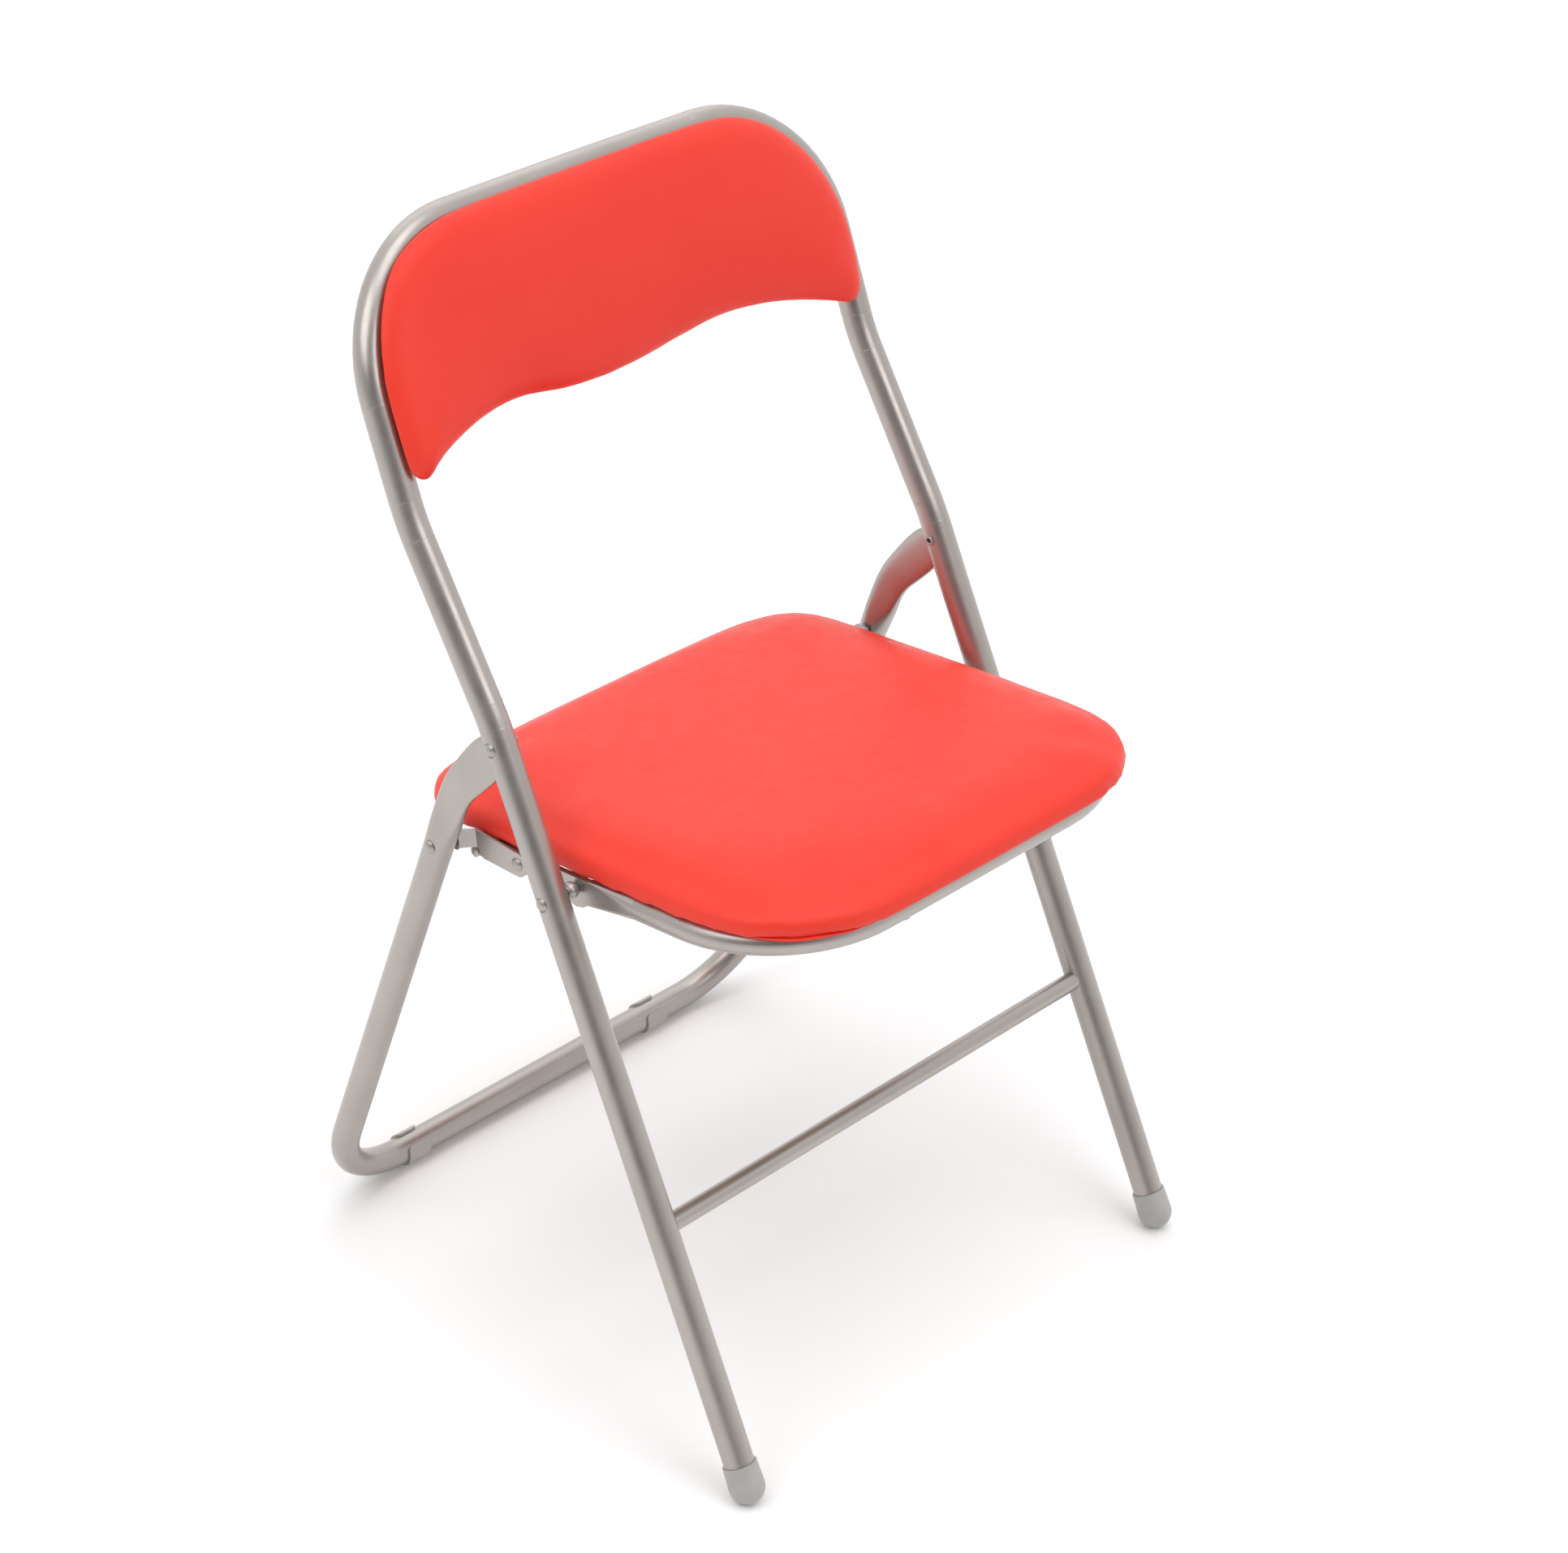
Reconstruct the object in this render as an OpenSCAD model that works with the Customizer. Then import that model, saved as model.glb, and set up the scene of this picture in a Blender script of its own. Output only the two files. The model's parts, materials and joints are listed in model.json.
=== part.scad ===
// Folding chair: a steel-tube front frame, a folding rear frame, a padded seat and two locking links.
// The chair faces -Y and stands on the floor at Z = 0. The origin is on the floor, under its middle.

/* [Front frame] */
// Diameter of the front frame's tube
tube_d = 22; // [20:0.5:24]
// Wall of all the tubes
tube_wall = 1.2; // [1:0.1:1.6]
// Distance between the two front tubes at the seat, centre to centre
frame_w = 433; // [425:1:441]
// How far each front foot stands outside the line of the tubes above
foot_splay = 4.5; // [0:0.5:6]
// Front leg from the floor to the lower bend, along its centre line
leg_len = 576; // [570:1:582]
// Lean of the front legs from upright, in degrees
leg_lean = 28.85; // [28:0.05:29.5]
// Length between the lower and the upper bend
waist_len = 139; // [120:1:150]
// Lean of the stretch between the bends, in degrees
waist_lean = 35.1; // [32:0.1:38]
// Height of the backrest hoop above the upper bend, along its own slope
hoop_len = 179.5; // [170:0.5:190]
// Lean of the backrest hoop, in degrees
hoop_lean = 24.4; // [22:0.1:27]
// Bend radius of the hoop's two corners
hoop_corner_r = 100; // [90:1:110]
// How far the hoop's corners turn backwards, in degrees, which bows the top rail
hoop_turn = 4.2; // [0:0.1:6]
// Distance of the crossbar from the floor, along the leg
crossbar_at = 207; // [190:1:230]
// Diameter of the crossbar
crossbar_d = 14; // [12:0.5:16]

/* [Rear frame] */
// Diameter of the rear frame's tube
rear_d = 21; // [19:0.5:22]
// Distance from the front feet to the rear floor tube, centre to centre at the floor
stance = 444.8; // [440:0.5:450]
// Lean of the rear legs from upright, in degrees
rear_lean = 17.7; // [17:0.1:18.4]
// Bend radius of the rear frame's two floor corners
rear_corner_r = 72; // [60:1:80]
// Lean of the flattened arms that reach forward to the pivot, in degrees
arm_lean = 38; // [36:0.5:40]
// Thickness of the flattened arms
arm_t = 6.6; // [5:0.2:7]

/* [Seat] */
// Distance of the rear frame's pivot from the floor, along the front leg
leg_pivot_at = 556; // [552:1:560]
// Distance of the seat's pivot from the floor, along the front leg
seat_pivot_at = 446.6; // [444:0.2:450]
// Slope of the seat down to the rear, in degrees
seat_tilt = 8; // [7:0.5:9]
// Width of the seat pad at its widest
seat_w = 385; // [375:1:386]
// Length of the seat pad
seat_len = 389; // [380:1:395]
// Thickness of the seat pad
seat_t = 27; // [24:1:32]
// Diameter of the seat frame's tube
seat_tube_d = 19; // [16:0.5:20]
// Width between the seat frame's side tubes, centre to centre
seat_tube_w = 369; // [360:1:371]
// Bend radius of the seat frame's two front corners
seat_corner_r = 92; // [80:1:100]

/* [Back pad] */
// Thickness of the back pad
back_t = 20; // [16:1:24]
// Width of the back pad
back_w = 438; // [430:1:442]

/* [Fold] */
// Turn of the seat about its pivot, 0 open, 110.7 folded
fold = 0; // [0:0.1:110.7]

/* [Hidden] */
$fn = 64;

steel = "silver";
red = "red";
side_x = frame_w / 2;
tube_r = tube_d / 2;
gap = 0.1;          // clearance between pieces of one body that lie face to face
run = 0.05;         // radial clearance of a rivet in the hole that turns on it

// ---- points of the side view, as [y, z] ----
function along(p, lean, d) = p + d * [sin(lean), cos(lean)];
foot_y = -225.5;
foot = [foot_y, 0];
bend_lo = along(foot, leg_lean, leg_len);
bend_hi = along(bend_lo, waist_lean, waist_len);
bend_r = 150;
leg_pivot = along(foot, leg_lean, leg_pivot_at);
seat_pivot = along(foot, leg_lean, seat_pivot_at);
crossbar_p = along(foot, leg_lean, crossbar_at);

// ---- small helpers ----
function hundredths(x) = round(100 * x) / 100;
function bend_cut(turn, big_r) = big_r * tan(abs(turn) / 2);
// Draws a straight run of rod up Z, and its children at the far end. Where the run meets a bend, its end
// tapers into the bend: start and end say whether it does.
module run_on(len, r, start = 1, end = 1) {
  rotate_extrude($fn = 64) polygon(concat(
    start > 0 ? [[0, -1.2], [r - 0.2, -1.2], [r, 0]] : [[0, 0], [r, 0]],
    end > 0 ? [[r, len], [r - 0.2, len + 1.2], [0, len + 1.2]] : [[r, len], [0, len]]));
  translate([0, 0, len]) children();
}
// Draws a bend of rod from Z towards Y, or towards -Y when turn is negative, and its children at the far end.
module bend_on(turn, big_r, r) {
  s = turn < 0 ? -1 : 1;
  translate([0, s * big_r, 0]) {
    multmatrix([[0, 0, -s, 0], [-s, 0, 0, 0], [0, 1, 0, 0], [0, 0, 0, 1]])
      rotate_extrude(angle = abs(turn), $fn = 120) translate([big_r, 0]) circle(r = r - 0.06, $fn = 64);
    rotate([-turn, 0, 0]) translate([0, -s * big_r, 0]) children();
  }
}
// A cylinder along X from x0 to x1 at the point p = [y, z].
module across(p, x0, x1, r) {
  translate([min(x0, x1), p.x, p.y]) rotate([0, 90, 0]) cylinder(r = r, h = abs(x1 - x0));
}
// A piece turned about the X axis through p, from a profile of [radius, x] points.
module turned(p, profile) {
  translate([0, p.x, p.y]) rotate([0, 90, 0]) rotate_extrude($fn = 48) polygon(profile);
}
// Profile of a domed head from its rim at x0 to its top, h further out.
function dome(x0, r, h) = let (ball_r = (r * r + h * h) / (2 * h), half = asin(r / ball_r))
  [for (i = [6:-1:0]) [ball_r * sin(half * i / 6), x0 + h - ball_r * (1 - cos(half * i / 6))]];
// Both sides of the chair: children are drawn for the right side and mirrored to the left.
module both() {
  children();
  mirror([1, 0, 0]) children();
}

// ---- front frame ----
splay = atan(foot_splay / (leg_pivot_at - 40));
splay_at = leg_pivot_at - 40;                 // the leg starts to splay here, along the leg
splay_p = along(foot, leg_lean, splay_at);
lo_cut = bend_cut(waist_lean - leg_lean, bend_r);
hi_cut = bend_cut(waist_lean - hoop_lean, bend_r);
top_lead = 6;                                 // short straight run between each corner and the bowed top
top_half = side_x - (hoop_corner_r + top_lead) * cos(hoop_turn);
top_r = hundredths(top_half / sin(hoop_turn));

module at_splay() {
  translate([side_x, splay_p.x, splay_p.y]) rotate([-leg_lean, 0, 0]) children();
}
// The lower leg of the right side, which stands a little outwards.
module splayed_leg(r, from, over = 0) {
  at_splay() rotate([0, -splay, 0]) translate([0, 0, from - splay_at])
    cylinder(r = r, h = splay_at - from + over);
}
// The hoop's own axes: X across, Y backwards out of the hoop, Z up along it.
module in_hoop() {
  translate([0, bend_hi.x, bend_hi.y]) rotate([-hoop_lean, 0, 0]) children();
}
// The right half of the front tube: splayed leg, lower bend, waist, upper bend, and the hoop round to its middle.
module front_half(r, from) {
  above = hundredths(leg_len - lo_cut - splay_at);
  intersection() {
    splayed_leg(r, from, 5);
    at_splay() rotate([0, -splay / 2, 0]) translate([-50, -50, -700]) cube([100, 100, 700]);
  }
  intersection() {
    at_splay() translate([0, 0, -5]) run_on(above + 5, r, start = 0);
    at_splay() rotate([0, -splay / 2, 0]) translate([-50, -50, 0]) cube([100, 100, 200]);
  }
  intersection() {
    translate([0, -100, 300]) cube([300, 500, 600]);
    at_splay() translate([0, 0, above])
      bend_on(waist_lean - leg_lean, bend_r, r)
      run_on(hundredths(waist_len - lo_cut - hi_cut), r)
      bend_on(hoop_lean - waist_lean, bend_r, r)
      run_on(hundredths(hoop_len - hoop_corner_r - hi_cut), r)
      rotate([0, 0, 90 - hoop_turn]) bend_on(90, hoop_corner_r, r)
      run_on(top_lead, r)
      rotate([0, 0, 90]) bend_on(hoop_turn + 0.5, top_r, r);
  }
}
tube_end = 9;                                 // the tube stops this far up inside the foot cap
head_seat = tube_r - 0.6;                     // rivet heads sit on a small flat of this depth
rivet_r = 3;
head_r = 5;
head_h = 2.4;
seat_leg_x = side_x + foot_splay * (splay_at - seat_pivot_at) / splay_at;
// The slot that the rear frame's arm turns in, behind the tube.
module arm_slot() {
  translate([side_x - arm_t / 2 - 0.7, leg_pivot.x, leg_pivot.y]) rotate([-leg_lean, 0, 0])
    translate([0, 0, -80]) cube([arm_t + 1.4, 30, 92]);
}
module front_frame() {
  color(steel) difference() {
    both() front_half(tube_r, tube_end);
    both() front_half(tube_r - tube_wall, tube_end - 2);
    both() {
      arm_slot();
      across(leg_pivot, side_x - 20, side_x + 20, rivet_r);
      across(leg_pivot, side_x + head_seat, side_x + 20, head_r + 0.2);
      across(seat_pivot, seat_leg_x - 20, seat_leg_x + 20, rivet_r);
      across(seat_pivot, seat_leg_x + head_seat, seat_leg_x + 20, head_r + 0.2);
    }
  }
}
module crossbar() {
  color(steel) difference() {
    across(crossbar_p, -side_x, side_x, crossbar_d / 2);
    across(crossbar_p, -side_x - 1, side_x + 1, crossbar_d / 2 - 1);
    both() splayed_leg(tube_r + 0.02, 100);
  }
}
// Foot cap: a slightly flared sleeve with a round end, cut flat where it stands.
cap_r = 12.9;
cap_len = 31;
cap_drop = 12.2;                              // centre of the round end above the floor
module foot_cap() {
  color("darkgray") difference() {
    intersection() {
      translate([side_x, splay_p.x, splay_p.y]) rotate([-leg_lean, 0, 0]) rotate([0, -splay, 0])
        translate([0, 0, -splay_at]) {
          ball_at = cap_drop / cos(leg_lean);
          translate([0, 0, ball_at]) sphere(r = cap_r);
          translate([0, 0, ball_at]) cylinder(r1 = cap_r, r2 = tube_r + 1.3, h = cap_len - ball_at);
        }
      translate([0, foot_y - 50, 0]) cube([400, 200, 100]);
    }
    splayed_leg(tube_r + gap / 2, tube_end);
  }
}
module foot_cap_right() { foot_cap(); }
module foot_cap_left() { mirror([1, 0, 0]) foot_cap(); }

// ---- back pad, in the hoop's axes ----
pad_bow = 11.5;                               // how far the pad's middle lies behind its sides
pad_r = (side_x * side_x + pad_bow * pad_bow) / (2 * pad_bow);
pad_front = 12.35;                            // the pad's back lies this far before the tubes' centres
// Lower edge of the pad: a shallow wave, falling away to the two corners.
function wave(x) = abs(x) < 98 ? 47 - 3.5 * cos(180 * x / 98)
                               : 50.5 - 23.5 * pow((abs(x) - 98) / 102, 1.75);
// Half outline of the pad, inset by e, from the lower middle round to the top middle.
function back_half(e) = let (w = back_w / 2, c = hoop_corner_r + 3 - e, cx = w - hoop_corner_r - 3,
                             cz = hoop_len + 2 - hoop_corner_r - 3) concat(
  [for (x = [0:14:w - e - 19]) [x, wave(x) + e]],
  [[w - e - 15, 26 + e], [w - e - 6.5, 28 + e], [w - e - 3, 33 + e]],
  [for (a = [0:9:90]) [cx + c * cos(a), cz + c * sin(a)]]);
function mirrored(h) = concat(h, [for (i = [len(h) - 1:-1:0]) if (abs(h[i].x) > 0.01) [-h[i].x, h[i].y]]);
// The part of the pad between two depths under its back face, inset by e.
module back_slab(depth_0, depth_1, e) {
  in_hoop() intersection() {
    translate([0, 60, 0]) rotate([90, 0, 0]) linear_extrude(120) polygon(mirrored(back_half(e)));
    translate([0, pad_bow - pad_front - pad_r, 0]) difference() {
      cylinder(r = pad_r - depth_0, h = 250, $fn = 720);
      translate([0, 0, -1]) cylinder(r = pad_r - depth_1, h = 252, $fn = 720);
    }
  }
}
skin = 1;
board_t = 4;
back_wrap = 10;                               // the board's inset from the pad's edge
tab_x = side_x - 21;
tab_back = 9.2;                               // depth of the tabs' back face before the tubes' centres
tab_z = [58, 106];
module at_back_screws() {
  both() in_hoop() for (z = tab_z) translate([tab_x, 0, z]) rotate([90, 0, 0]) children();
}
module back_screw_bore(r) { at_back_screws() cylinder(r = r, h = 15.6, $fn = 24); }
module back_cover() {
  color(red) difference() {
    back_slab(0, back_t, 0);
    back_slab(skin, back_t - skin, skin);
    back_screw_bore(2);
  }
}
module back_board() {
  color("tan") difference() {
    back_slab(skin + gap, skin + board_t, back_wrap);
    back_screw_bore(1.9);
  }
}
// The foam covers the board's front and wraps round its edges.
module back_foam() {
  color("khaki") difference() {
    back_slab(skin + gap, back_t - skin - gap, skin + gap);
    back_slab(0, skin + board_t + gap, back_wrap - gap);
  }
}
// Small plates welded to the inside of the hoop, one for each screw.
module back_tabs() {
  color(steel) difference() {
    both() in_hoop() for (z = tab_z)
      translate([tab_x - 9, -tab_back, z - 9]) cube([26, 2, 18]);
    both() in_hoop() {
      translate([side_x, 0, 0]) cylinder(r = tube_r + 0.02, h = hoop_len - hoop_corner_r);
      translate([side_x, 0, hoop_len - hoop_corner_r]) rotate([0, 0, 90 - hoop_turn])
        bend_on(60, hoop_corner_r, tube_r + 0.02);
    }
    back_screw_bore(2);
  }
}
module back_screws() {
  color("dimgray") at_back_screws() {
    translate([0, 0, tab_back - 2 + 2.02]) rotate([180, 0, 0]) translate([0, 0, 2.04]) {
      cylinder(r = 3.6, h = 1.2, $fn = 32);
      translate([0, 0, 1.2]) cylinder(r1 = 3.6, r2 = 2.4, h = 0.9, $fn = 32);
    }
    translate([0, 0, tab_back - 2.1]) cylinder(r = 1.85, h = 7.2, $fn = 24);
  }
}

// ---- rivets and spacers on the front frame ----
// A semi-tubular rivet along X: a domed head outside and a rolled, hollow tail inside.
module rivet(p, x_head, x_tail, tail_r = 3.8) {
  pin = rivet_r - 0.02;
  turned(p, concat(dome(x_head, head_r, head_h), [
    [0, x_tail + 2.5], [1.7, x_tail + 2.5], [1.7, x_tail - 0.8], [2.1, x_tail - 1.2],
    [tail_r - 0.5, x_tail - 1.2], [tail_r, x_tail - 0.8], [tail_r, x_tail], [pin, x_tail], [pin, x_head]]));
}
module leg_pivot_rivets() {
  color(steel) both() rivet(leg_pivot, side_x + head_seat + 0.02, side_x - tube_r - 0.05);
}
rail_out = 195;                               // outer face of the seat rails
rail_t = 4.6;
module seat_pivot_rivets() {
  color(steel) both() rivet(seat_pivot, seat_leg_x + head_seat + 0.02, rail_out - rail_t - 0.3, 4.2);
}
// Ball-shaped spacer between the leg and the seat rail.
module seat_spacer() {
  x0 = rail_out + 0.3;
  x1 = seat_leg_x - tube_r - 0.02;
  mid = (x0 + x1) / 2;
  color(steel) turned(seat_pivot, concat([[rivet_r, x0], [3.5, x0]],
    [for (a = [-50:20:30]) [6 * cos(a), mid + 6 * sin(a)]],
    [[4.4, x1 - 1.4], [4.8, x1 - 1.2], [4.8, x1], [rivet_r, x1]]));
}
module seat_spacer_right() { seat_spacer(); }
module seat_spacer_left() { mirror([1, 0, 0]) seat_spacer(); }

// ---- rear frame ----
rear_r = rear_d / 2;
glide_t = 1.9;
rear_axis = [foot_y + stance, 12.1];          // centre of the floor tube
rear_sharp_x = side_x + 5;                    // where a leg's centre line meets the floor tube's
rear_in = 0.57;                               // the rear legs close in upwards by this angle
function rear_at(t) = rear_axis + t * [-sin(rear_lean), cos(rear_lean)];
// Where the leg's line meets the arm's line, as a distance up the leg.
elbow_t = let (d = leg_pivot - rear_axis, k = tan(arm_lean))
  (d.x + k * d.y) / (k * cos(rear_lean) - sin(rear_lean));
elbow = rear_at(elbow_t);
arm_len = norm(leg_pivot - elbow);
round_to = 392;                               // the leg is round up to here and flattens above
// The rear frame's own axes: X across, Z up along the legs.
module in_rear() {
  translate([0, rear_axis.x, rear_axis.y]) rotate([rear_lean, 0, 0]) children();
}
// One straight leg's axes: the origin is at the sharp corner, and Z runs up the leg.
module in_rear_leg() {
  in_rear() translate([rear_sharp_x, 0, 0]) rotate([0, -rear_in, 0]) children();
}
corner_cut = bend_cut(90 + rear_in, rear_corner_r);
// The right half of the rear tube, from the middle of the floor tube round and up to a point on the leg.
module rear_half(r, top) {
  in_rear() rotate([0, 90, 0]) rotate([0, 0, 90])
    run_on(hundredths(rear_sharp_x - corner_cut), r, start = 0)
    bend_on(90 + rear_in, rear_corner_r, r)
    run_on(top - hundredths(corner_cut), r, end = 0);
}
// Half width of the flat arm at a distance from the pivot.
function arm_half(a) = a < 8 ? 8.9 : a < 18 ? 8.9 + 5.4 * (1 - cos(18 * (a - 8))) / 2
                     : 14.3 - 2.3 * min(1, (a - 18) / 24);
// The arm's middle line in leg coordinates (forward, up), by distance a from the pivot.
arm_turn = arm_lean - rear_lean;
arm_bend_r = 80;
arm_bend_cut = arm_bend_r * tan(arm_turn / 2);
function arm_point(a) =
  let (s = a - (arm_len - arm_bend_cut), turn = s <= 0 ? arm_turn : arm_turn - s * 180 / PI / arm_bend_r)
  s <= 0 ? [(arm_len - a) * sin(arm_turn), elbow_t + (arm_len - a) * cos(arm_turn)]
         : turn > 0 ? [arm_bend_r * (1 - cos(turn)), elbow_t - arm_bend_cut + arm_bend_r * sin(turn)]
                    : [0, elbow_t - arm_bend_cut + turn * PI / 180 * arm_bend_r];
function arm_dir(a) = let (d = arm_point(a) - arm_point(a + 0.5)) d / norm(d);
arm_steps = [for (a = [8:3:arm_len + 3]) a];
arm_last = arm_steps[len(arm_steps) - 1];
module arm_outline() {
  rim = [for (t = [-80:20:80]) let (d = arm_dir(2), n = [d.y, -d.x])
         arm_point(0) + 8.9 * (n * -sin(t) + d * cos(t))];
  left = [for (a = arm_steps) let (d = arm_dir(a)) arm_point(a) + arm_half(a) * [-d.y, d.x]];
  right = [for (a = arm_steps) let (d = arm_dir(a)) arm_point(a) + arm_half(a) * [d.y, -d.x]];
  polygon(concat([for (i = [len(left) - 1:-1:0]) left[i]], [for (i = [len(rim) - 1:-1:0]) rim[i]], right));
}
// Flat plate of one arm, in the leg's axes.
module arm_plate() {
  translate([-arm_t / 2, 0, 0]) rotate([90, 0, 90]) linear_extrude(arm_t)
    mirror([1, 0, 0]) arm_outline();
}
// The stretch where the round leg is squashed into the flat arm.
module arm_squash() {
  d = arm_point(arm_last);
  hull() {
    translate([0, 0, round_to - 1]) cylinder(r = rear_r - 0.2, h = 1, $fn = 32);
    translate([-arm_t / 2, -d.x - arm_half(arm_last), d.y]) cube([arm_t, 2 * arm_half(arm_last), 1]);
  }
}
link_rear_t = 388.7;
link_rear = rear_at(link_rear_t);
link_leg_x = rear_sharp_x - link_rear_t * sin(rear_in);
module rear_frame() {
  color(steel) difference() {
    union() {
      difference() {
        both() rear_half(rear_r, round_to);
        both() rear_half(rear_r - tube_wall, round_to - 14);
      }
      both() in_rear_leg() {
        arm_squash();
        arm_plate();
      }
    }
    both() {
      across(leg_pivot, side_x - 20, side_x + 20, rivet_r + run);
      across(link_rear, link_leg_x - 20, link_leg_x + 20, rivet_r);
      across(link_rear, link_leg_x + rear_r - 0.6, link_leg_x + 20, head_r + 0.2);
    }
  }
}
// Clip-on glide: an open ring round the floor tube with round-cornered lips, cut flat where it stands.
glide_x_right = 113;
glide_x_left = -140;
glide_len = 20;
glide_r = rear_r + glide_t;
lip_front = 141;                              // where the front lip ends, as an angle up from the rear
lip_back = 74;                                // where the back lip ends
lip_corner = 5;                               // radius of the lips' corners
// The two corners cut off the lip that ends at this angle; side is 1 where the lip runs on to larger angles.
module lip_corners(angle, side) {
  rotate([0, 0, angle]) for (k = [1, -1])
    translate([rear_r - 3, 0, k > 0 ? 0 : glide_len]) rotate([90, 0, 90]) linear_extrude(8) difference() {
      translate([side > 0 ? -1 : -lip_corner, k > 0 ? -1 : -lip_corner]) square(lip_corner + 1);
      translate([side, k] * lip_corner) circle(r = lip_corner, $fn = 48);
    }
}
module rear_glide(x) {
  color("darkgray") intersection() {
    translate([x - glide_len / 2, rear_axis.x, rear_axis.y]) rotate([90, 0, 90]) difference() {
      rotate([0, 0, lip_front]) rotate_extrude(angle = 360 - lip_front + lip_back)
        translate([rear_r + 0.05, 0]) square([glide_t - 0.05, glide_len]);
      lip_corners(lip_front, 1);
      lip_corners(lip_back, -1);
    }
    translate([-300, rear_axis.x - 50, 0]) cube([600, 100, 100]);
  }
}
module rear_glide_right() { rear_glide(glide_x_right); }
module rear_glide_left() { rear_glide(glide_x_left); }
// Rivet of the open pivot: it stops at the inside of the rear leg, short of the link.
module link_rear_rivets() {
  x0 = link_leg_x + rear_r - 0.58;
  pin = rivet_r - 0.02;
  color(steel) both() turned(link_rear, concat(dome(x0, head_r, head_h),
    [[0, link_leg_x - rear_r], [pin, link_leg_x - rear_r], [pin, x0]]));
}

// ---- seat, in its own axes: the origin at the pivot, Y down the slope to the rear, Z square to it ----
module in_seat() {
  translate([0, seat_pivot.x, seat_pivot.y]) rotate([-seat_tilt, 0, 0]) children();
}
function to_seat(p) = let (d = p - seat_pivot)
  [d.x * cos(seat_tilt) - d.y * sin(seat_tilt), d.x * sin(seat_tilt) + d.y * cos(seat_tilt)];
pad_z = 7.2;                                  // underside of the seat pad
seat_tube_r = seat_tube_d / 2;
seat_tube_z = pad_z - 0.2 - seat_tube_r;
seat_tube_x = seat_tube_w / 2;
seat_tube_y = -183.5;                         // the front run of the seat frame
squash_from = -50;                            // the side tube is round up to here
squash_to = -9;                               // and flat from here
link_seat = [56.9, -1.5];                     // rivet of the link on the rail
stop_pin = [99.4, -5.4];
stop_r = 4;
// The right half of the seat's tube, from the middle of its front run.
module seat_half_tube(r) {
  translate([0, seat_tube_y, seat_tube_z]) rotate([0, 90, 0])
    run_on(seat_tube_x - seat_corner_r, r, start = 0)
    bend_on(90, seat_corner_r, r)
    run_on(squash_from - seat_tube_y - seat_corner_r, r, end = 0);
}
// Side view of the flat rail: straight under the pad, with a lobe round the pivot and a round rear end.
function rail_outline() = concat(
  [[squash_to, 7], [squash_to, -11.5], [squash_to + 4, -14.2]],
  [for (a = [-110:20:-50]) [2, -7] + 8.6 * [cos(a), sin(a)]],
  [[24, -11.2], [40, -8.4], [54, -7.4], [75, -7.6], [94, -9]],
  [for (a = [-60:20:60]) [98.5, -4.2] + 5.6 * [cos(a), sin(a)]],
  [[102, 4], [100, 7]]);
module rail_plate() {
  translate([rail_out - rail_t, 0, 0]) rotate([90, 0, 90]) linear_extrude(rail_t) polygon(rail_outline());
}
module rail_squash() {
  hull() {
    translate([seat_tube_x, squash_from - 1, seat_tube_z]) rotate([-90, 0, 0])
      cylinder(r = seat_tube_r - 0.2, h = 1, $fn = 32);
    translate([rail_out - rail_t, squash_to, -11.5]) cube([rail_t, 0.5, 18.5]);
  }
}
module at_front_seat_screws() {
  both() translate([72, seat_tube_y, seat_tube_z]) children();
}
strap_y = 78;
module at_rear_seat_screws() {
  both() translate([110, strap_y, 0]) children();
}
module seat_frame() {
  color(steel) in_seat() difference() {
    union() {
      difference() {
        both() seat_half_tube(seat_tube_r);
        both() seat_half_tube(seat_tube_r - tube_wall);
      }
      both() {
        rail_squash();
        rail_plate();
      }
    }
    both() {
      across([0, 0], rail_out - 10, rail_out + 10, rivet_r + run);
      across(link_seat, rail_out - 10, rail_out + 10, rivet_r);
      across(stop_pin, rail_out - 10, rail_out + 10, 2.5);
    }
    at_front_seat_screws() translate([0, 0, -20]) cylinder(r = 2.1, h = 40, $fn = 24);
    at_front_seat_screws() translate([0, 0, -20]) cylinder(r = 4.2, h = 20.5 - seat_tube_r, $fn = 32);
  }
}
module seat_cross_strap() {
  color(steel) in_seat() difference() {
    x = rail_out - rail_t - 0.05;
    translate([-x, strap_y - 11, pad_z - 3]) cube([2 * x, 22, 2.8]);
    at_rear_seat_screws() cylinder(r = 2.1, h = 20, $fn = 24);
  }
}
// Outline of the pad, inset by e: round corners, and sides that swell a little.
swell_x = 10.5;
swell_y = 5.5;
seat_y0 = -206;
seat_y1 = seat_y0 + seat_len;
front_corner = 76;
rear_corner_r_pad = 42;
function swell(p) = let (sx = p.x / (seat_w / 2), sy = (p.y - (seat_y0 + seat_y1) / 2) / (seat_len / 2))
  [p.x + sign(p.x) * swell_x * max(0, 1 - sy * sy) * pow(abs(sx), 3),
   p.y + sign(sy) * swell_y * max(0, 1 - sx * sx) * pow(abs(sy), 3)];
function seat_half(e) = let (w = seat_w / 2 - swell_x - e, y0 = seat_y0 + swell_y + e,
                             y1 = seat_y1 - swell_y - e, rf = front_corner - e, rr = rear_corner_r_pad - e)
  concat([for (x = [0:30:90]) swell([x, y0])],
         [for (a = [-90:10:0]) swell([w - rf + rf * cos(a), y0 + rf + rf * sin(a)])],
         [for (y = [-100:25:110]) swell([w, y])],
         [for (a = [0:10:90]) swell([w - rr + rr * cos(a), y1 - rr + rr * sin(a)])],
         [for (x = [120:-30:0]) swell([x, y1])]);
module seat_slab(z0, z1, e) {
  translate([0, 0, z0]) linear_extrude(z1 - z0) polygon(mirrored(seat_half(e)));
}
seat_board_t = 9;
seat_wrap = 8;                                // the board's inset from the pad's edge
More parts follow.
